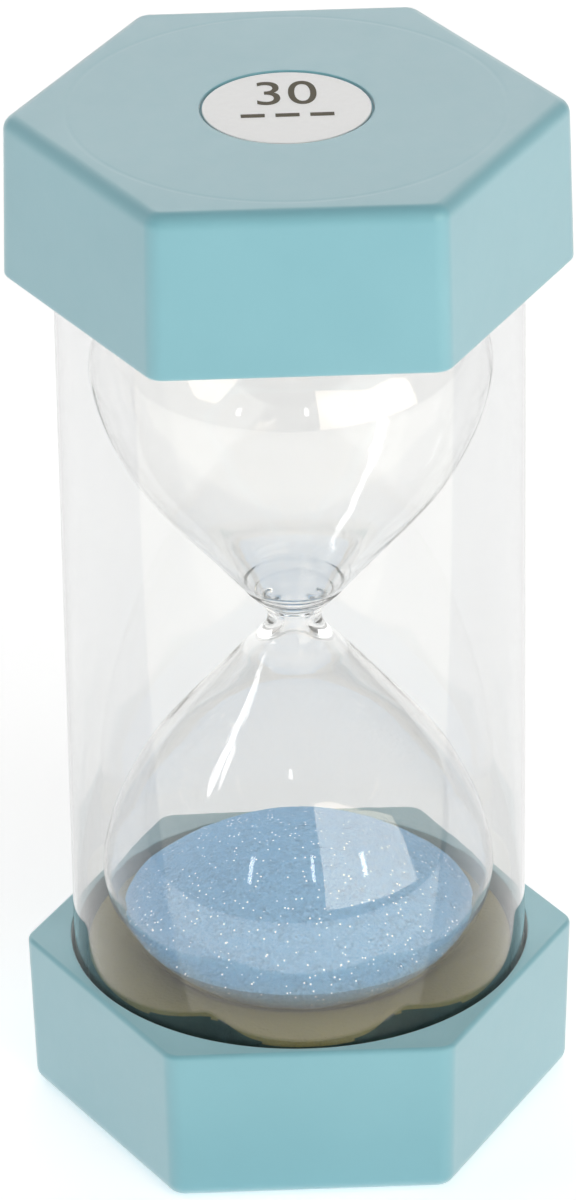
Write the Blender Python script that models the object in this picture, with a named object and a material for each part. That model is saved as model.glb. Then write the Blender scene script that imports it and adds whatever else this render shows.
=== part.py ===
"""Hexagonal safety sand timer: two moulded caps, a clear tube, and a blown-glass vial on cushions.

Metres, +Z up. The origin is the centre of the underside. Two flats of each cap face +Y and -Y, and
two corners lie on the X axis. Everything below the constants is worked out from them.
"""

import math

import bmesh
import bpy
import numpy as np

# Overall size
TOTAL_HEIGHT = 0.160
ACROSS_FLATS = 0.0701  # at each cap's closed end

# Caps, both from one mould
CAP_HEIGHT = 0.025
CAP_DRAFT = 0.0006  # how much further out each flat is at the mouth than at the closed end
CORNER_RADIUS = 0.003
END_FILLET = 0.0021
MOUTH_FILLET = 0.0007
MOUTH_WALL = 0.00145  # left between the round socket and the middle of a flat, at the mouth
END_THICKNESS = 0.0025
RIB_THICKNESS = 0.0009
RIB_HEIGHT = 0.005

# Clear tube between the caps
TUBE_WALL = 0.0005
TUBE_CLEARANCE = 0.0004  # all round, in the socket

# Glass vial
VIAL_GAP = 0.0042  # between its widest girth and the tube
VIAL_WALL = 0.0005
VIAL_SINK = 0.0013  # how far its weight has pressed it into the lower cushion
NECK_RADIUS = 0.004
BORE_RADIUS = 0.0016
NECK_REACH = 0.10  # how far the neck's thick wall runs, as a share of the half length
CUSHION_UNDER_VIAL = 0.0151  # with the vial in the middle
FILLER_RADIUS = 0.004
STOPPER_HEAD_RADIUS = 0.0058
STOPPER_HEAD_THICKNESS = 0.0014
STOPPER_SHANK = 0.0045  # below its head

# Sand, all run down
SAND_CONTACT = 0.0130  # height of its edge above the vial's lower end
SAND_DOME = 0.011

# Cushions, round with four soft notches
CUSHION_BELOW_MOUTH = 0.0006
CUSHION_NOTCH_WEB = 0.0030  # the foam a notch leaves outside the seat's rim
CUSHION_NOTCH_WIDTH = math.radians(11.5)
CUSHION_NOTCHES = [math.radians(degrees) for degrees in (60, 120, 240, 300)]
CUSHION_HOLE_RADIUS = 0.0075
CUSHION_EDGE = 0.0012

# Round labels, each in a shallow recess
LABEL_RADIUS = 0.012
LABEL_THICKNESS = 0.0004
LABEL_BELOW_FACE = 0.0001
LABEL_SIDE_GAP = 0.0004

GAP = 0.0003  # between pieces that touch
ROUND_STEPS = 64
SMALL_STEPS = 48

# The vial's outline: distance from the neck as a share of its half length, and radius as a share of
# the way from the neck's radius to the girth's. It holds to GIRTH_AT; a half ellipse closes the end.
VIAL_OUTLINE = (
    (0.000, 0.000),
    (0.021, 0.010),
    (0.043, 0.043),
    (0.068, 0.103),
    (0.112, 0.196),
    (0.194, 0.364),
    (0.288, 0.560),
    (0.385, 0.742),
    (0.481, 0.870),
    (0.573, 0.958),
    (0.661, 1.000),
)
GIRTH_AT = VIAL_OUTLINE[-1][0]
END_STEPS = 10

MOUTH_APOTHEM = ACROSS_FLATS / 2 + CAP_DRAFT
SOCKET_RADIUS = MOUTH_APOTHEM - MOUTH_WALL
TUBE_RADIUS = SOCKET_RADIUS - TUBE_CLEARANCE
TUBE_BORE = TUBE_RADIUS - TUBE_WALL
RIB_OUTER = TUBE_BORE - GAP
RIB_INNER = RIB_OUTER - RIB_THICKNESS
CUSHION_RADIUS = RIB_INNER - GAP
VIAL_RADIUS = TUBE_BORE - VIAL_GAP
VIAL_HALF_LENGTH = TOTAL_HEIGHT / 2 - END_THICKNESS - GAP - CUSHION_UNDER_VIAL
VIAL_CENTRE = TOTAL_HEIGHT / 2 - VIAL_SINK
LABEL_FLOOR = LABEL_BELOW_FACE + LABEL_THICKNESS + GAP


def clear_scene():
    for obj in list(bpy.data.objects):
        bpy.data.objects.remove(obj, do_unlink=True)


def material(name, colour, roughness, metallic=0.0):
    made = bpy.data.materials.new(name)
    made.use_nodes = True
    shader = made.node_tree.nodes["Principled BSDF"]
    shader.inputs["Base Color"].default_value = (*colour, 1.0)
    shader.inputs["Roughness"].default_value = roughness
    shader.inputs["Metallic"].default_value = metallic
    made.diffuse_color = (*colour, 1.0)
    return made


def add_object(name, mesh, look):
    obj = bpy.data.objects.new(name, mesh)
    bpy.context.scene.collection.objects.link(obj)
    if look:
        mesh.materials.append(look)
    return obj


def make_cutter(obj):
    obj.hide_render = True
    obj.display_type = "WIRE"
    return obj


def upended(profile):
    """The same profile at the other end of the timer, still running top to bottom."""
    return [(r, TOTAL_HEIGHT - z) for r, z in reversed(profile)]


def lathe(name, profile, steps, look=None, closed=False):
    """Turns a profile of (radius, z), whose outer side runs top to bottom, about the Z axis."""
    mesh = bpy.data.meshes.new(name)
    edges = [(i, i + 1) for i in range(len(profile) - 1)]
    if closed:
        edges.append((len(profile) - 1, 0))
    mesh.from_pydata([(r, 0.0, z) for r, z in profile], edges, [])
    obj = add_object(name, mesh, look)
    turn = obj.modifiers.new("turn", "SCREW")
    turn.axis = "Z"
    turn.angle = math.tau
    turn.steps = steps
    turn.render_steps = steps
    turn.use_merge_vertices = True
    turn.merge_threshold = 0.00001
    turn.use_smooth_shade = True
    return obj


def bake(obj):
    """Replaces an object's mesh with what its modifiers make of it, and shades it smooth."""
    graph = bpy.context.evaluated_depsgraph_get()
    mesh = bpy.data.meshes.new_from_object(obj.evaluated_get(graph), depsgraph=graph)
    obj.modifiers.clear()
    obj.data = mesh
    mesh.shade_smooth()
    mesh.set_sharp_from_angle(angle=math.radians(32))
    return obj


def hexagon(apothem, radius, arc_steps=6):
    """A hexagon with rounded corners, the first corner centred on +X, anticlockwise."""
    centre = (apothem - radius) / math.cos(math.pi / 6)
    points = []
    for corner in range(6):
        middle = corner * math.pi / 3
        cx, cy = centre * math.cos(middle), centre * math.sin(middle)
        for i in range(arc_steps + 1):
            angle = middle - math.pi / 6 + i * math.pi / 3 / arc_steps
            points.append((cx + radius * math.cos(angle), cy + radius * math.sin(angle)))
    return points


def cap_levels():
    """(height, how far inside the flat) from the closed end to the mouth, as both edges are rounded."""
    levels = []
    for i in range(6):
        angle = i * math.pi / 10
        levels.append((END_FILLET * (1 - math.cos(angle)), END_FILLET * (1 - math.sin(angle))))
    for i in range(4):
        angle = i * math.pi / 6
        height = CAP_HEIGHT - MOUTH_FILLET * (1 - math.sin(angle))
        levels.append((height, MOUTH_FILLET * (1 - math.cos(angle))))
    return levels


def cap_shell(name, on_top, look):
    """The cap's outside as a solid block."""
    shape = bmesh.new()
    rings = []
    for height, inset in cap_levels():
        apothem = ACROSS_FLATS / 2 + CAP_DRAFT * height / CAP_HEIGHT - inset
        corner = max(CORNER_RADIUS - inset, CORNER_RADIUS / 4)
        z = TOTAL_HEIGHT - height if on_top else height
        rings.append([shape.verts.new((x, y, z)) for x, y in hexagon(apothem, corner)])
    for low, high in zip(rings, rings[1:]):
        for i in range(len(low)):
            j = (i + 1) % len(low)
            shape.faces.new((low[i], low[j], high[j], high[i]))
    shape.faces.new(rings[0])
    shape.faces.new(rings[-1])
    bmesh.ops.recalc_face_normals(shape, faces=shape.faces)
    mesh = bpy.data.meshes.new(name)
    shape.to_mesh(mesh)
    shape.free()
    return add_object(name, mesh, look)


def socket_cutter(name, on_top):
    """The round socket, less the ring rib that stands on its floor inside the tube."""
    profile = [
        (0.0, CAP_HEIGHT + 0.002),
        (SOCKET_RADIUS, CAP_HEIGHT + 0.002),
        (SOCKET_RADIUS, END_THICKNESS),
        (RIB_OUTER, END_THICKNESS),
        (RIB_OUTER, END_THICKNESS + RIB_HEIGHT),
        (RIB_INNER, END_THICKNESS + RIB_HEIGHT),
        (RIB_INNER, END_THICKNESS),
        (0.0, END_THICKNESS),
    ]
    return make_cutter(lathe(name, upended(profile) if on_top else profile, ROUND_STEPS))


def recess_cutter(name, on_top):
    radius = LABEL_RADIUS + LABEL_SIDE_GAP
    profile = [(0.0, LABEL_FLOOR), (radius, LABEL_FLOOR), (radius, -0.002), (0.0, -0.002)]
    return make_cutter(lathe(name, upended(profile) if on_top else profile, SMALL_STEPS))


def build_cap(name, on_top, look):
    cap = cap_shell(name, on_top, look)
    for cutter in (
        socket_cutter(name + "_socket_cut", on_top),
        recess_cutter(name + "_recess_cut", on_top),
    ):
        cut = cap.modifiers.new("cut", "BOOLEAN")
        cut.operation = "DIFFERENCE"
        cut.solver = "EXACT"
        cut.object = cutter
    return bake(cap)


def build_tube(look):
    low = END_THICKNESS + GAP
    high = TOTAL_HEIGHT - low
    profile = [(TUBE_RADIUS, high), (TUBE_RADIUS, low), (TUBE_BORE, low), (TUBE_BORE, high)]
    return bake(lathe("clear_tube", profile, ROUND_STEPS, look, closed=True))


def half_outline():
    """The vial's outside from its neck to one end, as (radius, distance from the neck)."""
    points = []
    for share, width in VIAL_OUTLINE:
        radius = NECK_RADIUS + (VIAL_RADIUS - NECK_RADIUS) * width
        points.append((radius, share * VIAL_HALF_LENGTH))
    girth = GIRTH_AT * VIAL_HALF_LENGTH
    for i in range(1, END_STEPS + 1):
        angle = i * math.pi / 2 / END_STEPS
        along = girth + (VIAL_HALF_LENGTH - girth) * math.sin(angle)
        points.append((VIAL_RADIUS * math.cos(angle), along))
    points[-1] = (0.0, VIAL_HALF_LENGTH)
    return np.array(points)


def moved_in(outline, depth):
    """The outline moved inwards by depth, which may differ from point to point."""
    run = np.gradient(outline, axis=0)
    run[-1] = (-1.0, 0.0)
    run[0] = (0.0, 1.0)
    run /= np.linalg.norm(run, axis=1)[:, None]
    inner = outline + np.stack([-run[:, 1], run[:, 0]], axis=1) * np.reshape(depth, (-1, 1))
    inner[-1, 0] = 0.0
    return inner


def vial_inside():
    """The vial's inside surface, whose wall thickens towards the neck."""
    outline = half_outline()
    share = np.clip(outline[:, 1] / (NECK_REACH * VIAL_HALF_LENGTH), 0.0, 1.0)
    ease = share * share * (3 - 2 * share)
    wall = VIAL_WALL + (NECK_RADIUS - BORE_RADIUS - VIAL_WALL) * (1 - ease)
    return moved_in(outline, wall)


def cut_at_radius(half, radius):
    """The half outline up to where its closed end narrows to a radius."""
    widest = int(np.argmax(half[:, 0]))
    beyond = [i for i in range(widest, len(half)) if half[i, 0] < radius][0]
    (r0, s0), (r1, s1) = half[beyond - 1], half[beyond]
    along = s0 + (s1 - s0) * (r0 - radius) / (r0 - r1)
    return np.vstack([half[:beyond], (radius, along)])


def build_vial(look):
    outside = half_outline()
    inside = vial_inside()
    open_outside = cut_at_radius(outside, FILLER_RADIUS)
    open_inside = cut_at_radius(inside, FILLER_RADIUS)
    profile = [(r, VIAL_CENTRE - s) for r, s in inside[::-1]]
    profile += [(r, VIAL_CENTRE + s) for r, s in open_inside[1:]]
    profile += [(r, VIAL_CENTRE + s) for r, s in open_outside[::-1]]
    profile += [(r, VIAL_CENTRE - s) for r, s in outside[1:]]
    return bake(lathe("glass_bulb", profile, ROUND_STEPS, look))


def build_stopper(look):
    seat = VIAL_CENTRE + cut_at_radius(half_outline(), FILLER_RADIUS)[-1, 1] + GAP
    top = seat + STOPPER_HEAD_THICKNESS
    shank = FILLER_RADIUS - GAP
    soft = STOPPER_HEAD_THICKNESS / 3
    profile = [
        (0.0, top),
        (STOPPER_HEAD_RADIUS - soft, top),
        (STOPPER_HEAD_RADIUS, top - soft),
        (STOPPER_HEAD_RADIUS, seat),
        (shank, seat),
        (shank - 0.0003, seat - STOPPER_SHANK),
        (0.0, seat - STOPPER_SHANK),
    ]
    return bake(lathe("filler_stopper", profile, SMALL_STEPS, look))


def build_sand(look):
    inside = moved_in(half_outline(), VIAL_WALL + GAP)
    inside = np.array([(r, VIAL_CENTRE - s) for r, s in inside])
    edge = VIAL_CENTRE - VIAL_HALF_LENGTH + SAND_CONTACT
    below = [i for i in range(len(inside)) if inside[i, 1] < edge][0]
    (r0, z0), (r1, z1) = inside[below - 1], inside[below]
    reach = r0 + (r1 - r0) * (z0 - edge) / (z0 - z1)
    profile = []
    for i in range(15):
        share = i / 15
        profile.append((reach * share, edge + SAND_DOME * (1 - share**2)))
    profile.append((reach, edge))
    profile += [tuple(point) for point in inside[below:]]
    return bake(lathe("sand", profile, ROUND_STEPS, look))


def cushion_seat(sunk):
    """The dished seat as (radii, heights above the part's end), for a vial shifted towards it."""
    seat = moved_in(half_outline(), -GAP)
    seat = seat[int(np.argmax(seat[:, 0])) :][::-1]
    return seat[:, 0], TOTAL_HEIGHT / 2 - sunk - seat[:, 1]


def notch_depth(top):
    """Both cushions are one piece, so a notch stops short of the wider of their two seats."""
    radii, heights = cushion_seat(VIAL_SINK)
    rim = float(np.interp(top, heights, radii))
    return max(0.0, CUSHION_RADIUS - CUSHION_EDGE - rim - CUSHION_NOTCH_WEB)


def lobed_radius(angle, radius, depth):
    """The cushion's outline: round, with a notch towards each corner of the cap off the X axis."""
    off = min(abs(angle - notch) for notch in CUSHION_NOTCHES)
    return radius - depth * math.exp(-((off / CUSHION_NOTCH_WIDTH) ** 2))


def build_cushion(name, on_top, look):
    """A notched round block with a dished seat for the vial's end and a hole down its middle."""
    floor = END_THICKNESS + GAP
    top = CAP_HEIGHT - CUSHION_BELOW_MOUTH
    depth = notch_depth(top)
    radii, heights = cushion_seat(-VIAL_SINK if on_top else VIAL_SINK)
    hole_top = float(np.interp(CUSHION_HOLE_RADIUS, radii, heights))
    rim = float(np.interp(top, heights, radii))
    inner, outer = CUSHION_HOLE_RADIUS + GAP, rim - GAP
    dish = [(float(r), float(z)) for r, z in zip(radii, heights) if inner < r < outer]
    # Each row is (radius, z, whether it follows the lobes): down the outside, in, then up.
    rows = [
        (rim, top, False),
        (CUSHION_RADIUS - CUSHION_EDGE, top, True),
        (CUSHION_RADIUS - CUSHION_EDGE * 0.3, top - CUSHION_EDGE * 0.3, True),
        (CUSHION_RADIUS, top - CUSHION_EDGE, True),
        (CUSHION_RADIUS, floor, True),
        (CUSHION_HOLE_RADIUS, floor, False),
        (CUSHION_HOLE_RADIUS, hole_top, False),
    ]
    rows += [(r, z, False) for r, z in dish]
    steps = ROUND_STEPS
    shape = bmesh.new()
    rings = []
    for radius, z, lobed in rows:
        ring = []
        for i in range(steps):
            angle = i * math.tau / steps
            reach = lobed_radius(angle, radius, depth) if lobed else radius
            height = TOTAL_HEIGHT - z if on_top else z
            ring.append(shape.verts.new((reach * math.cos(angle), reach * math.sin(angle), height)))
        rings.append(ring)
    for k, ring in enumerate(rings):
        following = rings[(k + 1) % len(rings)]
        for i in range(steps):
            j = (i + 1) % steps
            shape.faces.new((ring[i], ring[j], following[j], following[i]))
    bmesh.ops.recalc_face_normals(shape, faces=shape.faces)
    mesh = bpy.data.meshes.new(name)
    shape.to_mesh(mesh)
    shape.free()
    return bake(add_object(name, mesh, look))


def build_label(name, on_top, look):
    soft = LABEL_THICKNESS / 4
    inner = LABEL_BELOW_FACE + LABEL_THICKNESS
    profile = [
        (0.0, inner),
        (LABEL_RADIUS, inner),
        (LABEL_RADIUS, LABEL_BELOW_FACE + soft),
        (LABEL_RADIUS - soft, LABEL_BELOW_FACE),
        (0.0, LABEL_BELOW_FACE),
    ]
    return bake(lathe(name, upended(profile) if on_top else profile, SMALL_STEPS, look))


def build():
    clear_scene()
    for on_top in (False, True):
        end = "top" if on_top else "bottom"
        cap_look = material(end + "_cap", (0.26, 0.56, 0.62), 0.42)
        build_cap(end + "_cap", on_top, cap_look)
        build_cushion(end + "_cushion", on_top, material(end + "_cushion", (0.42, 0.37, 0.26), 0.9))
        build_label(end + "_label", on_top, material(end + "_label", (0.90, 0.90, 0.88), 0.35))
    build_tube(material("clear_tube", (0.95, 0.96, 0.96), 0.05))
    build_vial(material("glass_bulb", (0.92, 0.94, 0.95), 0.02))
    build_stopper(material("filler_stopper", (0.80, 0.80, 0.78), 0.6))
    build_sand(material("sand", (0.24, 0.43, 0.68), 0.85))


build()
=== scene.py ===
"""The looks of the sand timer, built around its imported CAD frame.

Metres, in the frame's own axes: the origin is the centre of the underside and +Z is up.
"""

import math

import bmesh
import bpy
import numpy as np
from mathutils import Matrix, Vector


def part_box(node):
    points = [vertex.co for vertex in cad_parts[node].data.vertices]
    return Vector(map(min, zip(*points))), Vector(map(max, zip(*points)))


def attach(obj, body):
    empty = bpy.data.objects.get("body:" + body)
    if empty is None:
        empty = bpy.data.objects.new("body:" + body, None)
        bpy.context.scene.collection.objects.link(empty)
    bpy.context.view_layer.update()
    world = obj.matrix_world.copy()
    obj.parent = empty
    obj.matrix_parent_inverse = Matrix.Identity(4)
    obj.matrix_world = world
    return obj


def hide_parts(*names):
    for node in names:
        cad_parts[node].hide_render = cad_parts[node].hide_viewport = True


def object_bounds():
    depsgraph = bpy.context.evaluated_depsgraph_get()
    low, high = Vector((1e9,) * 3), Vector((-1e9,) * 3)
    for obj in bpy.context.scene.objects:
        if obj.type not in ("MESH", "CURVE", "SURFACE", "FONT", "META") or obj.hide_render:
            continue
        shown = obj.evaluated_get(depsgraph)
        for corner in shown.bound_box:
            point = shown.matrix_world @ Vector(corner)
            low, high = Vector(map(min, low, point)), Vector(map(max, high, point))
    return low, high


MM = 0.001
TAU = math.tau

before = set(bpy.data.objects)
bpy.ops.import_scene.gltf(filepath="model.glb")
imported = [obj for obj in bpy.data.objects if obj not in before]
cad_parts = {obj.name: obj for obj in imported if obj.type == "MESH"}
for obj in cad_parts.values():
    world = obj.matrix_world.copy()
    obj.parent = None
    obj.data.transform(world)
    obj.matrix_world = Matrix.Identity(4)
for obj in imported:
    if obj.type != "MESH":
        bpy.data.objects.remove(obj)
CAD_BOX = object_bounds()
HEIGHT = CAD_BOX[1][2]
rng = np.random.default_rng(7)


# ---------------------------------------------------------------- sizes, as in the CAD model
MOUTH_FLAT = float(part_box("bottom_cap")[1][1])
CAP_DRAFT = 0.6 * MM
END_FLAT = MOUTH_FLAT - CAP_DRAFT
CAP_HEIGHT = float(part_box("bottom_cap")[1][2])
CORNER_RADIUS = 3.0 * MM
END_FILLET = 2.1 * MM
MOUTH_FILLET = 0.7 * MM
END_THICKNESS = 2.5 * MM
GAP = 0.3 * MM
TUBE_RADIUS = float(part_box("clear_tube")[1][0])
TUBE_WALL = 0.5 * MM
SOCKET_RADIUS = TUBE_RADIUS + 0.4 * MM
RIB_OUTER = TUBE_RADIUS - TUBE_WALL - GAP
RIB_INNER = RIB_OUTER - 0.9 * MM
RIB_HEIGHT = 5.0 * MM
LABEL_RADIUS = float(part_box("top_label")[1][0])
LABEL_LOW = float(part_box("top_label")[0][2])
LABEL_HIGH = float(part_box("top_label")[1][2])
RIB_MARK = (30.6 * MM, 31.9 * MM)  # the sunk ring that the rib leaves on the end face
RIB_MARK_DEPTH = 0.03 * MM
RECESS_RADIUS = LABEL_RADIUS + 0.4 * MM
RECESS_DEPTH = HEIGHT - LABEL_LOW + GAP
CUSHION_RADIUS = float(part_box("bottom_cushion")[1][1])
CUSHION_LOW = float(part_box("bottom_cushion")[0][2])
CUSHION_HIGH = float(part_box("bottom_cushion")[1][2])
CUSHION_HOLE = 7.5 * MM
NOTCH_DEPTH = 4.6 * MM
NOTCH_WIDTH = math.radians(11.5)
NOTCHES = np.radians([60.0, 120.0, 240.0, 300.0])
GIRTH = float(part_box("glass_bulb")[1][0])
VIAL_LOW = float(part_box("glass_bulb")[0][2])
VIAL_SINK = 1.3 * MM
VIAL_CENTRE = HEIGHT / 2 - VIAL_SINK
VIAL_HALF = VIAL_CENTRE - VIAL_LOW
VIAL_WALL = 0.5 * MM
NECK_RADIUS = 4.0 * MM
BORE_RADIUS = 1.6 * MM
NECK_REACH = 0.10  # how far the neck's thick wall runs, as a share of the half length
FILLER_RADIUS = 4.0 * MM
SAND_EDGE = VIAL_LOW + 13.0 * MM
SAND_DOME = 11.0 * MM
SAND_FILM = 0.06 * MM  # between the sand and the glass
GRAIN_HEIGHT = 0.035 * MM
RIPPLE_PITCH = 1.5 * MM
RIPPLES_BEGIN = (1.2 * MM, 2.2 * MM)  # distances from the neck over which they rise
RIPPLES_END = (5.6 * MM, 7.2 * MM)  # and over which they fade
FINE_NECK = 9 * MM
FINE_NECK_STEPS = 73
PRINT_THICKNESS = 0.03 * MM
PRINT_LIFT = 0.005 * MM
NUMBER_SIZE = 11.2 * MM
NUMBER_NARROWED = 0.82
NUMBER_UP = 4.4 * MM
BAR_SIZE = (3.4 * MM, 1.1 * MM)
BAR_PITCH = 4.9 * MM
BARS_DOWN = 2.6 * MM
# The vial's outside: (share of its half length, share of the way from neck radius to girth).
OUTLINE = (
    (0.000, 0.000),
    (0.021, 0.010),
    (0.043, 0.043),
    (0.068, 0.103),
    (0.112, 0.196),
    (0.194, 0.364),
    (0.288, 0.560),
    (0.385, 0.742),
    (0.481, 0.870),
    (0.573, 0.958),
    (0.661, 1.000),
)


# ---------------------------------------------------------------- node materials
class Look:
    """A material being built: short calls that add nodes and join them."""

    def __init__(self, name):
        self.material = bpy.data.materials.new(name)
        self.material.use_nodes = True
        self.tree = self.material.node_tree
        self.shader = self.tree.nodes["Principled BSDF"]
        self.output = self.tree.nodes["Material Output"]
        self.place = self.add("ShaderNodeTexCoord").outputs["Object"]

    def add(self, kind, **settings):
        node = self.tree.nodes.new(kind)
        for key, value in settings.items():
            setattr(node, key, value)
        return node

    def join(self, source, target):
        self.tree.links.new(source, target)

    def set(self, **values):
        for key, value in values.items():
            self.shader.inputs[key.replace("_", " ")].default_value = value

    def noise(self, scale, detail=2.0, roughness=0.5, stretch=None):
        node = self.add("ShaderNodeTexNoise")
        node.inputs["Scale"].default_value = scale
        node.inputs["Detail"].default_value = detail
        node.inputs["Roughness"].default_value = roughness
        place = self.place
        if stretch:
            turn = self.add("ShaderNodeMapping")
            turn.inputs["Scale"].default_value = stretch
            self.join(place, turn.inputs["Vector"])
            place = turn.outputs["Vector"]
        self.join(place, node.inputs["Vector"])
        return node.outputs["Fac"]

    def cells(self, scale, output="Distance"):
        node = self.add("ShaderNodeTexVoronoi")
        node.inputs["Scale"].default_value = scale
        self.join(self.place, node.inputs["Vector"])
        return node.outputs[output]

    def spread(self, value, low, high, to_low=0.0, to_high=1.0):
        node = self.add("ShaderNodeMapRange")
        for key, number in zip(
            ("From Min", "From Max", "To Min", "To Max"), (low, high, to_low, to_high)
        ):
            node.inputs[key].default_value = number
        self.join(value, node.inputs["Value"])
        return node.outputs["Result"]

    def mix(self, share, first, second):
        node = self.add("ShaderNodeMix", data_type="RGBA")
        self.join(share, node.inputs["Factor"])
        for socket, colour in ((node.inputs[6], first), (node.inputs[7], second)):
            if isinstance(colour, tuple):
                socket.default_value = (*colour, 1.0)
            else:
                self.join(colour, socket)
        return node.outputs[2]

    def maths(self, operation, first, second):
        node = self.add("ShaderNodeMath", operation=operation)
        for socket, value in zip(node.inputs, (first, second)):
            if isinstance(value, (int, float)):
                socket.default_value = value
            else:
                self.join(value, socket)
        return node.outputs[0]

    def bump(self, height, distance, strength=1.0, after=None):
        node = self.add("ShaderNodeBump")
        node.inputs["Strength"].default_value = strength
        node.inputs["Distance"].default_value = distance
        self.join(height, node.inputs["Height"])
        if after:
            self.join(after, node.inputs["Normal"])
        return node.outputs["Normal"]

    def let_lamps_through(self, tint):
        """Lamps reach what is behind this glass, as they do through thin clear walls."""
        path = self.add("ShaderNodeLightPath")
        clear = self.add("ShaderNodeBsdfTransparent")
        clear.inputs["Color"].default_value = (*tint, 1.0)
        blend = self.add("ShaderNodeMixShader")
        self.join(path.outputs["Is Shadow Ray"], blend.inputs[0])
        self.join(self.shader.outputs[0], blend.inputs[1])
        self.join(clear.outputs[0], blend.inputs[2])
        self.join(blend.outputs[0], self.output.inputs["Surface"])


def cap_plastic():
    look = Look("satin_teal_plastic")
    cloud = look.spread(look.noise(38.0, 3.0, 0.55), 0.35, 0.65)
    colour = look.mix(cloud, (0.205, 0.500, 0.575), (0.220, 0.520, 0.595))
    look.join(colour, look.shader.inputs["Base Color"])
    mottle = look.noise(320.0, 3.0, 0.6)
    look.join(look.spread(mottle, 0.3, 0.7, 0.36, 0.46), look.shader.inputs["Roughness"])
    grain = look.bump(look.noise(2600.0, 2.0, 0.5), 0.00002, 0.35)
    wave = look.bump(look.noise(60.0, 1.0, 0.4), 0.00006, 0.5, grain)
    look.join(wave, look.shader.inputs["Normal"])
    look.set(IOR=1.5, Sheen_Weight=1.0, Sheen_Roughness=0.5)
    return look.material


def clear_plastic():
    look = Look("clear_acrylic")
    look.set(Base_Color=(0.905, 0.91, 0.91, 1.0), Transmission_Weight=1.0, IOR=1.49)
    haze = look.noise(140.0, 2.0, 0.5, (1.0, 1.0, 0.25))
    look.join(look.spread(haze, 0.4, 0.75, 0.0, 0.012), look.shader.inputs["Roughness"])
    look.let_lamps_through((0.955, 0.96, 0.96))
    return look.material


def blown_glass():
    look = Look("blown_glass")
    look.set(Base_Color=(1.0, 1.0, 1.0, 1.0), Transmission_Weight=1.0, IOR=1.48)
    look.set(Roughness=0.0)
    draw = look.noise(90.0, 2.0, 0.45, (1.0, 1.0, 0.35))
    look.join(look.bump(draw, 0.0003, 0.35), look.shader.inputs["Normal"])
    look.let_lamps_through((0.955, 0.96, 0.96))
    return look.material


def dyed_sand():
    """Grains of many blues, and among them white flecks of glitter, which also glow as a painted
    glint.
    """
    grains, flecks = 2600.0, 1250.0
    look = Look("dyed_sand")
    tone = look.add("ShaderNodeSeparateColor")
    look.join(look.cells(grains, output="Color"), tone.inputs[0])
    body = look.mix(tone.outputs[0], (0.105, 0.315, 0.600), (0.300, 0.630, 0.980))
    patch = look.spread(look.noise(420.0, 3.0, 0.6), 0.3, 0.7)
    body = look.mix(patch, body, (0.205, 0.510, 0.860))
    pick = look.add("ShaderNodeSeparateColor")
    look.join(look.cells(flecks, output="Color"), pick.inputs[0])
    chosen = look.maths("GREATER_THAN", pick.outputs[1], 0.5)
    near = look.spread(look.cells(flecks), 0.14, 0.19, 1.0, 0.0)
    fleck = look.maths("MULTIPLY", near, chosen)
    look.join(look.mix(fleck, body, (0.95, 0.97, 1.0)), look.shader.inputs["Base Color"])
    look.join(look.spread(fleck, 0.0, 1.0, 0.85, 0.2), look.shader.inputs["Roughness"])
    # the flecks glow through emission: a painted glint standing for their shine on the lamps
    fleck_painted_glint = look.mix(fleck, (0.0, 0.0, 0.0), (1.0, 1.0, 1.0))
    look.join(fleck_painted_glint, look.shader.inputs["Emission Color"])
    look.set(Emission_Strength=0.9)
    look.join(look.bump(look.cells(grains), 0.0002, 0.9), look.shader.inputs["Normal"])
    return look.material


def foam():
    look = Look("khaki_foam")
    cells = look.cells(1500.0)
    pores = look.spread(cells, 0.0, 0.45)
    cloud = look.spread(look.noise(60.0, 3.0, 0.6), 0.3, 0.7)
    body = look.mix(cloud, (0.180, 0.165, 0.062), (0.212, 0.193, 0.074))
    colour = look.mix(pores, (0.150, 0.135, 0.070), body)
    look.join(colour, look.shader.inputs["Base Color"])
    look.set(Roughness=0.92, Specular_IOR_Level=0.15)
    fine = look.bump(look.noise(1800.0, 3.0, 0.6), 0.00015, 0.5)
    look.join(look.bump(cells, 0.00018, 0.5, fine), look.shader.inputs["Normal"])
    return look.material


def foam_side_painted_shade():
    """The cushion's cut side, darker than its top and greenish: painted shade of the narrow gap by
    the socket wall.
    """
    look = Look("foam_side_painted_shade")
    cloud = look.spread(look.noise(500.0, 3.0, 0.6), 0.3, 0.7)
    # dark greenish colour: painted shade, with the teal wall's bounce painted in
    colour = look.mix(cloud, (0.018, 0.034, 0.030), (0.034, 0.058, 0.052))
    look.join(colour, look.shader.inputs["Base Color"])
    look.set(Roughness=0.9, Specular_IOR_Level=0.2)
    look.join(look.bump(look.cells(1500.0), 0.00018, 0.5), look.shader.inputs["Normal"])
    return look.material


def label_card():
    look = Look("label_white")
    fibre = look.noise(900.0, 3.0, 0.6)
    patch = look.spread(fibre, 0.3, 0.7)
    colour = look.mix(patch, (0.93, 0.93, 0.92), (0.97, 0.97, 0.96))
    look.join(colour, look.shader.inputs["Base Color"])
    look.join(look.spread(fibre, 0.3, 0.7, 0.32, 0.42), look.shader.inputs["Roughness"])
    look.join(look.bump(fibre, 0.00001, 0.4), look.shader.inputs["Normal"])
    return look.material


def print_ink():
    look = Look("olive_ink")
    patch = look.noise(1500.0, 3.0, 0.6)
    share = look.spread(patch, 0.3, 0.7)
    colour = look.mix(share, (0.060, 0.047, 0.018), (0.090, 0.072, 0.030))
    look.join(colour, look.shader.inputs["Base Color"])
    look.join(look.spread(patch, 0.3, 0.7, 0.55, 0.7), look.shader.inputs["Roughness"])
    return look.material


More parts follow.
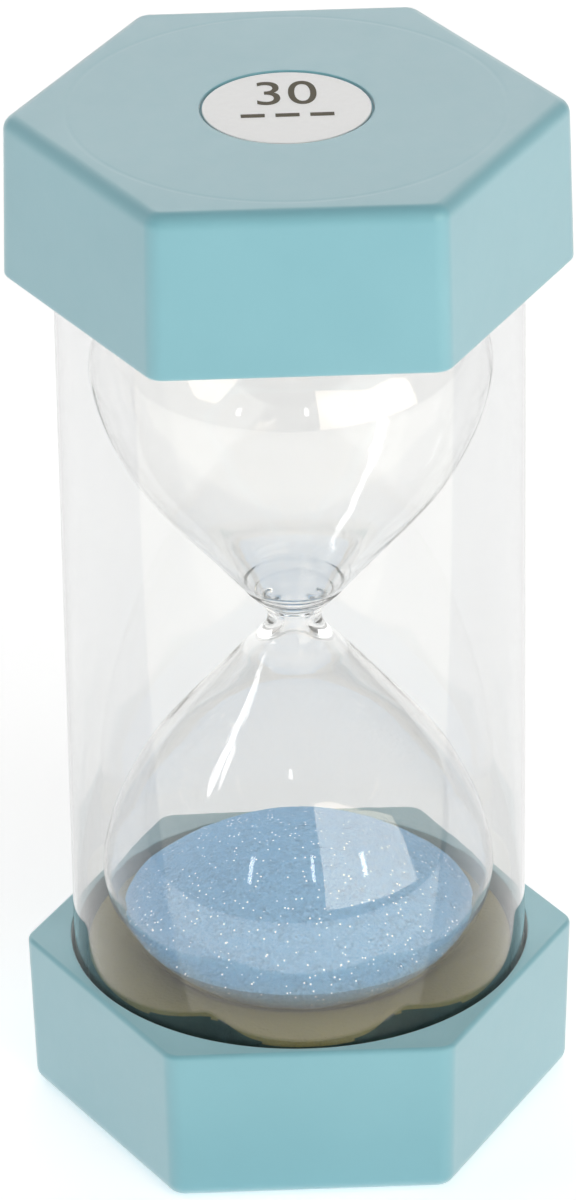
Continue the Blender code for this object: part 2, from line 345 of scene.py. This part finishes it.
def stopper_rubber():
    look = Look("stopper_rubber")
    patch = look.noise(400.0, 3.0, 0.6)
    colour = look.mix(look.spread(patch, 0.3, 0.7), (0.58, 0.57, 0.53), (0.66, 0.65, 0.61))
    look.join(colour, look.shader.inputs["Base Color"])
    look.join(look.spread(patch, 0.3, 0.7, 0.55, 0.7), look.shader.inputs["Roughness"])
    look.join(look.bump(look.noise(2200.0, 2.0, 0.5), 0.00003, 0.5), look.shader.inputs["Normal"])
    return look.material


# ---------------------------------------------------------------- mesh helpers
def surface(name, rings, look, low_pole=None, high_pole=None, loop=False, sharp=35.0):
    """A closed surface through rings of points with equal counts, ending in poles or looping."""
    shape = bmesh.new()
    made = [[shape.verts.new(point) for point in ring] for ring in rings]
    pairs = list(zip(made, made[1:]))
    if loop:
        pairs.append((made[-1], made[0]))
    for first, second in pairs:
        for i in range(len(first)):
            j = (i + 1) % len(first)
            shape.faces.new((first[i], first[j], second[j], second[i]))
    for pole, ring in ((low_pole, made[0]), (high_pole, made[-1])):
        if pole is None:
            continue
        tip = shape.verts.new(pole)
        for i in range(len(ring)):
            shape.faces.new((ring[i], ring[(i + 1) % len(ring)], tip))
    bmesh.ops.recalc_face_normals(shape, faces=shape.faces)
    mesh = bpy.data.meshes.new(name)
    shape.to_mesh(mesh)
    shape.free()
    mesh.shade_smooth()
    mesh.set_sharp_from_angle(angle=math.radians(sharp))
    mesh.materials.append(look)
    obj = bpy.data.objects.new(name, mesh)
    bpy.context.scene.collection.objects.link(obj)
    return obj


def even_angles(count):
    return np.arange(count) * TAU / count


def circle(radius, z, angles):
    reach = np.broadcast_to(radius, angles.shape)
    return np.stack([reach * np.cos(angles), reach * np.sin(angles), np.full(angles.shape, z)], 1)


def arc(centre, radius, start, end, steps):
    """Points (radius, z) along an arc, both angles in degrees."""
    turn = np.radians(np.linspace(start, end, steps + 1))
    return [(centre[0] + radius * math.cos(t), centre[1] + radius * math.sin(t)) for t in turn]


def hex_angles():
    """Angles round a hexagon, packed closely where its corners bend."""
    dense = np.linspace(-2.9, 2.9, 15)
    coarse = np.linspace(3.6, 30.0, 12)
    sector = np.concatenate([-coarse[::-1][1:], dense, coarse])
    return np.radians(np.concatenate([sector + 60.0 * k for k in range(6)]))


def hexagon(flat, corner, z, angles):
    """A hexagon whose flats are at a distance and whose corners are rounded."""
    sixth = math.pi / 3
    off = np.abs((angles + sixth / 2) % sixth - sixth / 2)
    centre = (flat - corner) / math.cos(sixth / 2)
    meet = math.atan2(corner * math.sin(sixth / 2), centre + corner * math.cos(sixth / 2))
    bent = centre * np.cos(off) + np.sqrt(np.maximum(corner**2 - (centre * np.sin(off)) ** 2, 0))
    straight = flat / np.cos(sixth / 2 - off)
    return circle(np.where(off < meet, bent, straight), z, angles)


# ---------------------------------------------------------------- caps
def cap_rings(angles):
    """The cap's skin from the middle of its label recess, outside and in, to the socket floor."""
    rings = []

    def add(points):
        rings.extend(circle(r, z, angles) for r, z in points)

    soft = 0.15 * MM
    add([(RECESS_RADIUS * 0.5, RECESS_DEPTH), (RECESS_RADIUS, RECESS_DEPTH)])
    add(arc((RECESS_RADIUS + soft, soft), soft, 180, 270, 4))
    add([(RECESS_RADIUS + 0.5 * MM, 0.0), (22 * MM, 0.0)])
    for i in range(9):
        share = i / 8
        dip = RIB_MARK_DEPTH * math.sin(math.pi * share) ** 2
        add([(RIB_MARK[0] + share * (RIB_MARK[1] - RIB_MARK[0]), dip)])
    for degrees in np.linspace(0, 90, 9):
        t = math.radians(degrees)
        z = END_FILLET * (1 - math.cos(t))
        inset = END_FILLET * (1 - math.sin(t))
        flat = END_FLAT + CAP_DRAFT * z / CAP_HEIGHT - inset
        rings.append(hexagon(flat, max(CORNER_RADIUS - inset, 0.9 * MM), z, angles))
    for z in (END_FILLET + 0.3 * MM, CAP_HEIGHT / 2, CAP_HEIGHT - MOUTH_FILLET - 0.3 * MM):
        rings.append(hexagon(END_FLAT + CAP_DRAFT * z / CAP_HEIGHT, CORNER_RADIUS, z, angles))
    for degrees in np.linspace(0, 90, 6):
        t = math.radians(degrees)
        z = CAP_HEIGHT - MOUTH_FILLET * (1 - math.sin(t))
        inset = MOUTH_FILLET * (1 - math.cos(t))
        flat = END_FLAT + CAP_DRAFT * z / CAP_HEIGHT - inset
        rings.append(hexagon(flat, CORNER_RADIUS - inset, z, angles))
    edge = 0.2 * MM
    add(arc((SOCKET_RADIUS + edge, CAP_HEIGHT - edge), edge, 90, 180, 4))
    add([(SOCKET_RADIUS, CAP_HEIGHT - 0.6 * MM), (SOCKET_RADIUS, END_THICKNESS)])
    add([(RIB_OUTER, END_THICKNESS), (RIB_OUTER, END_THICKNESS + RIB_HEIGHT)])
    add([(RIB_INNER, END_THICKNESS + RIB_HEIGHT), (RIB_INNER, END_THICKNESS)])
    add([(RIB_INNER * 0.5, END_THICKNESS)])
    return rings


def upended(points):
    """Points turned over to the timer's other end."""
    return points * np.array([1.0, -1.0, -1.0]) + np.array([0.0, 0.0, HEIGHT])


def build_cap(name, on_top, look):
    angles = hex_angles()
    rings = cap_rings(angles)
    poles = [np.array([[0, 0, RECESS_DEPTH]]), np.array([[0, 0, END_THICKNESS]])]
    if on_top:
        rings = [upended(ring) for ring in rings]
        poles = [upended(pole) for pole in poles]
    cap = surface(name + "_moulding", rings, look, poles[0][0], poles[1][0], sharp=40.0)
    weigh = cap.modifiers.new("weigh", "WEIGHTED_NORMAL")
    weigh.keep_sharp = True
    weigh.weight = 90
    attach(cap, "root")
    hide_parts(name)


# ---------------------------------------------------------------- vial, tube, sand
def smooth_through(points, per_gap):
    """A Catmull-Rom curve through the points; the first and last only steer it."""
    points = np.asarray(points, float)
    out = []
    for a, b, c, d in zip(points, points[1:], points[2:], points[3:]):
        for t in np.arange(per_gap) / per_gap:
            out.append(
                0.5
                * (
                    2 * b
                    + (c - a) * t
                    + (2 * a - 5 * b + 4 * c - d) * t**2
                    + (3 * b - a - 3 * c + d) * t**3
                )
            )
    out.append(points[-2])
    return np.array(out)


def half_outline():
    """(radius, distance from the neck) of the vial's outside, from the neck to a closed end."""
    flank = [
        (NECK_RADIUS + (GIRTH - NECK_RADIUS) * width, share * VIAL_HALF) for share, width in OUTLINE
    ]
    girth = flank[-1][1]
    end = []
    for i in range(1, 41):
        t = math.radians(90.0 * i / 40)
        end.append((GIRTH * math.cos(t), girth + (VIAL_HALF - girth) * math.sin(t)))
    before = (flank[1][0], -flank[1][1])
    curve = smooth_through([before, *flank, end[3]], 7)
    whole = np.vstack([curve, end])
    whole[-1, 0] = 0.0
    return whole


def moved_in(outline, depth):
    """The outline moved inwards by a depth, which may differ from point to point."""
    run = np.gradient(outline, axis=0)
    run[0] = (0.0, 1.0)
    run[-1] = (-1.0, 0.0)
    run /= np.linalg.norm(run, axis=1)[:, None]
    inner = outline + np.stack([-run[:, 1], run[:, 0]], 1) * np.reshape(depth, (-1, 1))
    inner[-1, 0] = 0.0
    return inner


def eased(value, low, high):
    t = np.clip((value - low) / (high - low), 0.0, 1.0)
    return t * t * (3 - 2 * t)


def vial_inside():
    outline = half_outline()
    neck = 1 - eased(outline[:, 1], 0.0, NECK_REACH * VIAL_HALF)
    return moved_in(outline, VIAL_WALL + (NECK_RADIUS - BORE_RADIUS - VIAL_WALL) * neck)


def rippled(half, depth, phase):
    """The rings that working the neck leaves in the glass just beyond it."""
    half = half.copy()
    along = half[:, 1]
    reach = eased(along, *RIPPLES_BEGIN) * (1 - eased(along, *RIPPLES_END))
    half[:, 0] += depth * reach * np.sin(TAU * along / RIPPLE_PITCH + phase)
    return half


def refined_neck(half):
    """More points near the neck, so that the ripples have a shape."""
    widest = int(np.argmax(half[:, 0]))
    radii, along = half[:widest, 0], half[:widest, 1]
    fine = np.linspace(0, FINE_NECK, FINE_NECK_STEPS)
    stations = np.concatenate([fine, along[along > FINE_NECK]])
    start = np.stack([np.interp(stations, along, radii), stations], 1)
    return np.vstack([start, half[widest:]])


def cut_at_radius(half, radius):
    """The half outline up to where its closed end narrows to a radius."""
    widest = int(np.argmax(half[:, 0]))
    beyond = next(i for i in range(widest, len(half)) if half[i, 0] < radius)
    (r0, s0), (r1, s1) = half[beyond - 1], half[beyond]
    along = s0 + (s1 - s0) * (r0 - radius) / (r0 - r1)
    return np.vstack([half[:beyond], (radius, along)])


def build_vial(look):
    angles = even_angles(144)
    outside = refined_neck(half_outline())
    inside = refined_neck(vial_inside())
    high_in = cut_at_radius(rippled(inside, 0.17 * MM, 1.6), FILLER_RADIUS)
    high_out = cut_at_radius(rippled(outside, 0.15 * MM, 0.0), FILLER_RADIUS)
    profile = [(r, VIAL_CENTRE - s) for r, s in inside[::-1][1:]]
    profile += [(r, VIAL_CENTRE + s) for r, s in high_in[1:]]
    profile += [(r, VIAL_CENTRE + s) for r, s in high_out[::-1]]
    profile += [(r, VIAL_CENTRE - s) for r, s in outside[1:-1]]
    rings = [circle(r, z, angles) for r, z in profile]
    vial = surface(
        "blown_vial",
        rings,
        look,
        (0, 0, VIAL_CENTRE - inside[-1, 1]),
        (0, 0, VIAL_CENTRE - outside[-1, 1]),
        sharp=50.0,
    )
    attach(vial, "root")
    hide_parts("glass_bulb")


def build_tube(look):
    low, high = (float(corner[2]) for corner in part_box("clear_tube"))
    bore = TUBE_RADIUS - TUBE_WALL
    soft = 0.12 * MM
    held = 0.6 * MM
    profile = arc((TUBE_RADIUS - soft, high - soft), soft, 90, 0, 4)
    profile += [(TUBE_RADIUS, z) for z in (high - held, HEIGHT / 2, low + held)]
    profile += arc((TUBE_RADIUS - soft, low + soft), soft, 0, -90, 4)
    profile += arc((bore + soft, low + soft), soft, -90, -180, 4)
    profile += [(bore, z) for z in (low + held, HEIGHT / 2, high - held)]
    profile += arc((bore + soft, high - soft), soft, -180, -270, 4)
    rings = [circle(r, z, even_angles(256)) for r, z in profile]
    tube = surface("tube_sleeve", rings, look, loop=True)
    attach(tube, "root")
    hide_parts("clear_tube")


def build_sand(look):
    angles = even_angles(180)
    shell = moved_in(half_outline(), VIAL_WALL + SAND_FILM)
    shell = np.array([(r, VIAL_CENTRE - s) for r, s in shell])
    below = next(i for i in range(len(shell)) if shell[i, 1] < SAND_EDGE)
    (r0, z0), (r1, z1) = shell[below - 1], shell[below]
    reach = r0 + (r1 - r0) * (z0 - SAND_EDGE) / (z0 - z1)
    rings = []
    for share in np.linspace(0.03, 1.0, 60):
        z = SAND_EDGE + SAND_DOME * (1 - share**2)
        ring = circle(reach * share, z, angles)
        calm = min(1.0, (1 - share) * 12, share * 2)
        ring[:, 2] += calm * rng.normal(0.0, GRAIN_HEIGHT, len(angles))
        rings.append(ring)
    rings += [circle(r, z, angles) for r, z in shell[below:-1]]
    top, bottom = (0, 0, SAND_EDGE + SAND_DOME), (0, 0, shell[-1, 1])
    sand = surface("sand_heap", rings, look, top, bottom, sharp=70.0)
    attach(sand, "root")
    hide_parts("sand")


# ---------------------------------------------------------------- cushions
def lobes(angles, radius):
    """Round, with a soft notch towards each corner of the cap that is off the X axis."""
    off = np.abs(angles[:, None] - NOTCHES).min(axis=1)
    return radius - NOTCH_DEPTH * np.exp(-((off / NOTCH_WIDTH) ** 2))


def build_cushion(name, on_top, look, side):
    """Taut foam, dished for the vial's end, with soft edges and darker cut sides, whose darkness is
    painted shade.
    """
    angles = even_angles(288)
    sunk = -VIAL_SINK if on_top else VIAL_SINK
    seat = moved_in(half_outline(), -0.12 * MM)
    seat = seat[int(np.argmax(seat[:, 0])) :][::-1]
    radii, heights = seat[:, 0], HEIGHT / 2 - sunk - seat[:, 1]
    rim = float(np.interp(CUSHION_HIGH, heights, radii))
    hole_top = float(np.interp(CUSHION_HOLE, radii, heights))
    rings = []

    def add(points, lobed):
        for radius, z in points:
            reach = lobes(angles, radius) if lobed else radius
            rings.append(circle(reach, z, angles))

    soft = 1.4 * MM
    lip = 0.5 * MM
    add([(CUSHION_HOLE, CUSHION_LOW + lip), (CUSHION_HOLE, hole_top - lip)], False)
    add([(CUSHION_HOLE + lip, hole_top + 0.02 * MM)], False)
    for r in np.linspace(CUSHION_HOLE + 1.2 * MM, rim - 0.9 * MM, 18):
        add([(float(r), float(np.interp(r, radii, heights)))], False)
    add([(rim + 0.2 * MM, CUSHION_HIGH - 0.12 * MM), (rim + 0.9 * MM, CUSHION_HIGH)], False)
    add([(CUSHION_RADIUS - soft - 0.8 * MM, CUSHION_HIGH)], True)
    add(arc((CUSHION_RADIUS - soft, CUSHION_HIGH - soft), soft, 90, 0, 6), True)
    add([(CUSHION_RADIUS - 0.25 * MM, (CUSHION_LOW + CUSHION_HIGH) / 2)], True)
    add(arc((CUSHION_RADIUS - soft, CUSHION_LOW + soft), soft, 0, -90, 6), True)
    add([(CUSHION_HOLE + lip, CUSHION_LOW)], False)
    if on_top:
        rings = [upended(ring) for ring in rings]
    cushion = surface(name + "_foam", rings, look, loop=True, sharp=60.0)
    cushion.data.materials.append(side)
    # the vertical side faces take the second material: painted shade, dark and greenish
    for face in cushion.data.polygons:
        across = math.hypot(face.center.x, face.center.y)
        if across > CUSHION_RADIUS * 0.8 and abs(face.normal.z) < 0.6:
            face.material_index = 1
    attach(cushion, "root")
    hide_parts(name)


# ---------------------------------------------------------------- labels
def build_label(name, on_top, card, ink):
    angles = even_angles(128)
    low, high = HEIGHT - LABEL_HIGH, HEIGHT - LABEL_LOW
    soft = 0.1 * MM
    rings = [circle(r, z, angles) for r, z in [(LABEL_RADIUS * 0.5, high), (LABEL_RADIUS, high)]]
    rings += [
        circle(r, z, angles)
        for r, z in arc((LABEL_RADIUS - soft, low + soft), soft, 0, -90, 4)
    ]
    rings += [circle(LABEL_RADIUS - 0.5 * MM, low, angles), circle(LABEL_RADIUS * 0.5, low, angles)]
    poles = [np.array([[0, 0, high]]), np.array([[0, 0, low]])]
    if on_top:
        rings = [upended(ring) for ring in rings]
        poles = [upended(pole) for pole in poles]
    disc = surface(name + "_disc", rings, card, poles[0][0], poles[1][0], sharp=45.0)
    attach(disc, "root")
    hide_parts(name)
    build_number(name, on_top, ink)


def build_number(name, on_top, ink):
    """A plain run number, as on a dial, with three short bars under it."""
    text = bpy.data.curves.new(name + "_number", "FONT")
    text.body = "30"
    text.size = NUMBER_SIZE
    text.align_x = "CENTER"
    text.align_y = "CENTER"
    text.extrude = PRINT_THICKNESS / 2
    text.space_character = 1.04
    holder = bpy.data.objects.new(name + "_text", text)
    bpy.context.scene.collection.objects.link(holder)
    bpy.context.view_layer.update()
    evaluated = holder.evaluated_get(bpy.context.evaluated_depsgraph_get())
    mesh = bpy.data.meshes.new_from_object(evaluated)
    bpy.data.objects.remove(holder)
    mesh.transform(Matrix.Diagonal((NUMBER_NARROWED, 1.0, 1.0, 1.0)))
    mesh.transform(Matrix.Translation((0.0, NUMBER_UP, 0.0)))
    shape = bmesh.new()
    shape.from_mesh(mesh)
    for i in (-1, 0, 1):
        made = bmesh.ops.create_cube(shape, size=1.0)
        size = Matrix.Diagonal((*BAR_SIZE, PRINT_THICKNESS, 1.0))
        place = Matrix.Translation((i * BAR_PITCH, -BARS_DOWN, 0.0))
        bmesh.ops.transform(shape, matrix=place @ size, verts=made["verts"])
    bmesh.ops.remove_doubles(shape, verts=shape.verts, dist=1e-6)
    bmesh.ops.recalc_face_normals(shape, faces=shape.faces)
    shape.to_mesh(mesh)
    shape.free()
    level = LABEL_HIGH + PRINT_THICKNESS / 2 + PRINT_LIFT
    if on_top:
        mesh.transform(Matrix.Translation((0.0, 0.0, level)))
    else:
        mesh.transform(Matrix.Rotation(math.pi, 4, "X"))
        mesh.transform(Matrix.Translation((0.0, 0.0, HEIGHT - level)))
    mesh.materials.clear()
    mesh.materials.append(ink)
    number = bpy.data.objects.new(name + "_print", mesh)
    bpy.context.scene.collection.objects.link(number)
    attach(number, "root")


# ---------------------------------------------------------------- studio
LAMPS_AIM = 0.05  # the height that the lamps point at
# name, azimuth, elevation, distance, width, height, radiance
SOFTBOXES = (
    ("window_lamp", 40.0, 17.0, 0.80, 0.035, 0.09, 12.0),
    ("strip_left", -32.0, 18.5, 1.2, 0.05, 0.15, 9.0),
    ("strip_right", 7.0, 21.0, 1.2, 0.04, 0.16, 9.0),
    ("spot", -9.0, 48.0, 1.2, 0.07, 0.03, 7.0),
    ("side_high", -91.0, 36.0, 1.3, 0.13, 0.10, 9.0),
    ("side_middle", -83.0, 34.0, 1.3, 0.13, 0.14, 9.0),
    ("side_low", -76.0, 36.0, 1.3, 0.08, 0.08, 8.0),
    ("back", 178.0, 30.0, 1.5, 1.8, 0.9, 1.6),
)
# The sky's strength is a product: axis, (from, to, factor at from, factor at to).
SKY_GRADES = (
    ("Y", (-0.4, 0.6, 0.26, 0.76)),
    ("Z", (0.0, 0.9, 1.0, 0.25)),
    ("X", (0.2, 0.8, 1.0, 0.15)),
)


def aim(obj, target):
    back = (obj.location - Vector(target)).normalized()
    obj.rotation_euler = back.to_track_quat("Z", "Y").to_euler()


def rectangle_lamp(name, width, height, radiance, colour):
    """An area light of an even radiance, which the camera doesn't see."""
    light = bpy.data.lights.new(name, "AREA")
    light.shape = "RECTANGLE"
    light.size = width
    light.size_y = height
    light.energy = radiance * math.pi * width * height
    light.color = colour
    lamp = bpy.data.objects.new(name, light)
    bpy.context.scene.collection.objects.link(lamp)
    lamp.visible_camera = False
    return lamp


def softbox(name, azimuth, elevation, distance, width, height, radiance):
    """A white lamp aimed at the timer, at an azimuth from the front and an elevation."""
    lamp = rectangle_lamp(name, width, height, radiance, (1.0, 1.0, 1.0))
    a, e = math.radians(azimuth), math.radians(elevation)
    out = Vector((math.sin(a) * math.cos(e), -math.cos(a) * math.cos(e), math.sin(e)))
    lamp.location = Vector((0, 0, LAMPS_AIM)) + distance * out
    aim(lamp, (0, 0, LAMPS_AIM))
    return lamp


def panel(name, middle, across, upwards, size, radiance, colour, only_in_gloss=False):
    """A flat lamp in the plane of two directions, which shines away from across x upwards."""
    lamp = rectangle_lamp(name, *size, radiance, colour)
    turn = Matrix((across, upwards, across.cross(upwards))).transposed().to_4x4()
    lamp.matrix_world = Matrix.Translation(middle) @ turn
    lamp.visible_diffuse = not only_in_gloss


def build_window():
    """A big window at the right front, on edge and running away from the camera."""
    near, far = Vector((0.157, -0.682, 0.43)), Vector((1.466, -0.505, 0.43))
    middle, run, up = (near + far) / 2, (far - near).normalized(), Vector((0, 0, 1))
    size = ((far - near).length, 0.64)
    panel("window", middle, run, up, size, 1.8, (1.0, 0.97, 0.93))
    # a little nearer, because only one of two lamps in the same plane is seen
    nearer = middle - run.cross(up) * 0.004
    panel("window_shine", nearer, run, up, size, 2.6, (1.0, 0.80, 0.55), True)


def build_table_shine():
    """What the glass mirrors of the bright table in front of the timer."""
    middle, size = Vector((0.0, -1.55, 0.003)), (6.0, 3.0)
    across, away = Vector((1, 0, 0)), Vector((0, -1, 0))
    panel("table_front", middle, across, away, size, 0.75, (1.0, 0.95, 0.80), True)


def build_studio():
    build_window()
    build_table_shine()
    soft = softbox("front_high", 4.0, 62.0, 1.5, 1.1, 0.6, 2.3)
    soft.visible_glossy = False
    soft.visible_transmission = False
    for lamp in SOFTBOXES:
        softbox(*lamp)
    build_sky()
    build_floor()


def build_sky():
    world = bpy.data.worlds.new("studio")
    bpy.context.scene.world = world
    world.use_nodes = True
    tree = world.node_tree
    sky = tree.nodes["Background"]
    place = tree.nodes.new("ShaderNodeTexCoord")
    split = tree.nodes.new("ShaderNodeSeparateXYZ")
    tree.links.new(place.outputs["Generated"], split.inputs[0])
    strength = None
    for axis, ends in SKY_GRADES:
        grade = tree.nodes.new("ShaderNodeMapRange")
        for key, value in zip(("From Min", "From Max", "To Min", "To Max"), ends):
            grade.inputs[key].default_value = value
        tree.links.new(split.outputs[axis], grade.inputs["Value"])
        if strength is None:
            strength = grade.outputs["Result"]
            continue
        both = tree.nodes.new("ShaderNodeMath")
        both.operation = "MULTIPLY"
        tree.links.new(strength, both.inputs[0])
        tree.links.new(grade.outputs["Result"], both.inputs[1])
        strength = both.outputs[0]
    tree.links.new(strength, sky.inputs["Strength"])
    sky.inputs["Color"].default_value = (1.0, 1.0, 1.0, 1.0)


def build_floor():
    """A plain pale floor, bright enough to be white round the timer."""
    mesh = bpy.data.meshes.new("floor")
    side = 6.0
    corners = [(-side, -side, 0), (side, -side, 0), (side, side, 0), (-side, side, 0)]
    mesh.from_pydata(corners, [], [(0, 1, 2, 3)])
    floor = bpy.data.objects.new("floor", mesh)
    floor.location.z = -0.0002
    bpy.context.scene.collection.objects.link(floor)
    look = Look("pale_floor")
    look.set(Base_Color=(0.90, 0.90, 0.90, 1.0), Roughness=0.9, Specular_IOR_Level=0.1)
    look.set(Emission_Color=(1.0, 1.0, 1.0, 1.0), Emission_Strength=0.47)
    mesh.materials.append(look.material)


def build_camera():
    """The camera looks at the timer's middle, a little aside, from a fitted place and roll."""
    azimuth, elevation, distance = math.radians(-2.0), math.radians(28.61), 1.03915
    aside, above = 0.93 * MM, 0.72 * MM
    roll = math.radians(-0.91)
    data = bpy.data.cameras.new("camera")
    data.lens = 213.02
    data.sensor_width = 36.0
    data.clip_start = 0.05
    data.clip_end = 50.0
    camera = bpy.data.objects.new("camera", data)
    bpy.context.scene.collection.objects.link(camera)
    level = math.cos(elevation)
    out = Vector((math.sin(azimuth) * level, -math.cos(azimuth) * level, math.sin(elevation)))
    middle = Vector((0, 0, HEIGHT / 2))
    camera.location = middle + out * distance
    right = (-out).cross(Vector((0, 0, 1))).normalized()
    up = right.cross(-out)
    target = middle - right * aside + up * above
    back = (camera.location - target).normalized()
    upright = back.to_track_quat("Z", "Y").to_matrix()
    camera.rotation_euler = (upright @ Matrix.Rotation(roll, 3, "Z")).to_euler()
    bpy.context.scene.camera = camera


def build_all():
    plastic = cap_plastic()
    padding = foam()
    padding_side_painted_shade = foam_side_painted_shade()
    card = label_card()
    ink = print_ink()
    for name, on_top in (("bottom", False), ("top", True)):
        build_cap(name + "_cap", on_top, plastic)
        build_cushion(name + "_cushion", on_top, padding, padding_side_painted_shade)
        build_label(name + "_label", on_top, card, ink)
    build_tube(clear_plastic())
    build_vial(blown_glass())
    build_sand(dyed_sand())
    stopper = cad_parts["filler_stopper"]
    stopper.data.materials.clear()
    stopper.data.materials.append(stopper_rubber())


build_camera()
build_all()
build_studio()
bpy.context.scene.view_settings.view_transform = "Standard"
